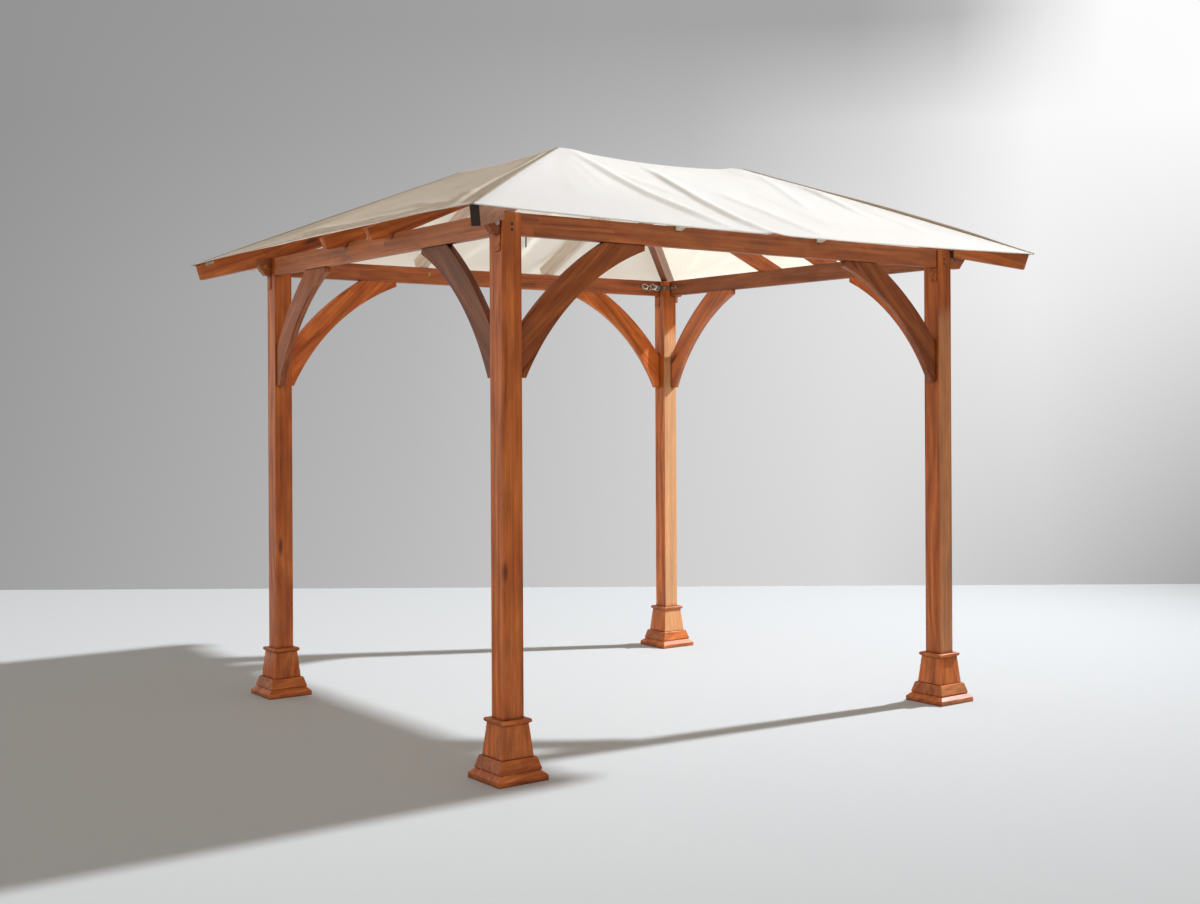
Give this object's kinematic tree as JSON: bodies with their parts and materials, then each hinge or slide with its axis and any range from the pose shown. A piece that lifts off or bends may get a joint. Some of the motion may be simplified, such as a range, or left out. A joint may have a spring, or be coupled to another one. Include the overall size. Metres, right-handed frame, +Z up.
{
  "type": "garden pergola",
  "caption": "Open timber pergola: square posts on flared bases, arched corner braces and a hipped canvas canopy with a flat crown.",
  "frame": {"origin": "on the ground, at the middle of the four feet", "axes": "+X along the long side, towards the right posts; +Y along the short side, towards the back posts; +Z up"},
  "size_m": [3.64, 3.16, 2.9978],
  "materials": {
    "post_timber": "satin stained softwood, grain upright",
    "trim_timber": "satin stained softwood, grain level",
    "beam_timber": "satin stained softwood, grain along the beam",
    "brace_timber": "satin stained softwood, sawn to a curve",
    "rafter_timber": "satin stained softwood, grain along the rafter",
    "canvas": "matt woven canvas, off-white",
    "steel_fixings": "zinc-plated bolts, screws and straps"
  },
  "bodies": {
    "root": {"post_front_left": "post_timber", "foot_front_left": "trim_timber", "pedestal_front_left": "post_timber", "collar_front_left": "trim_timber", "post_front_right": "post_timber", "foot_front_right": "trim_timber", "pedestal_front_right": "post_timber", "collar_front_right": "trim_timber", "post_back_left": "post_timber", "foot_back_left": "trim_timber", "pedestal_back_left": "post_timber", "collar_back_left": "trim_timber", "post_back_right": "post_timber", "foot_back_right": "trim_timber", "pedestal_back_right": "post_timber", "collar_back_right": "trim_timber", "beam_front": "beam_timber", "beam_back": "beam_timber", "beam_left": "beam_timber", "beam_right": "beam_timber", "packing_blocks": "beam_timber", "brace_front_left": "brace_timber", "brace_front_right": "brace_timber", "brace_back_left": "brace_timber", "brace_back_right": "brace_timber", "brace_left_front": "brace_timber", "brace_left_back": "brace_timber", "brace_right_front": "brace_timber", "brace_right_back": "brace_timber", "hip_front_left": "rafter_timber", "hip_front_right": "rafter_timber", "hip_back_left": "rafter_timber", "hip_back_right": "rafter_timber", "end_rafters": "rafter_timber", "side_rafters": "rafter_timber", "crown_rail_front": "rafter_timber", "crown_rail_back": "rafter_timber", "crown_rail_left": "rafter_timber", "crown_rail_right": "rafter_timber", "canopy_front": "canvas", "canopy_back": "canvas", "canopy_left": "canvas", "canopy_right": "canvas", "canopy_top": "canvas"}
  },
  "joints": []
}
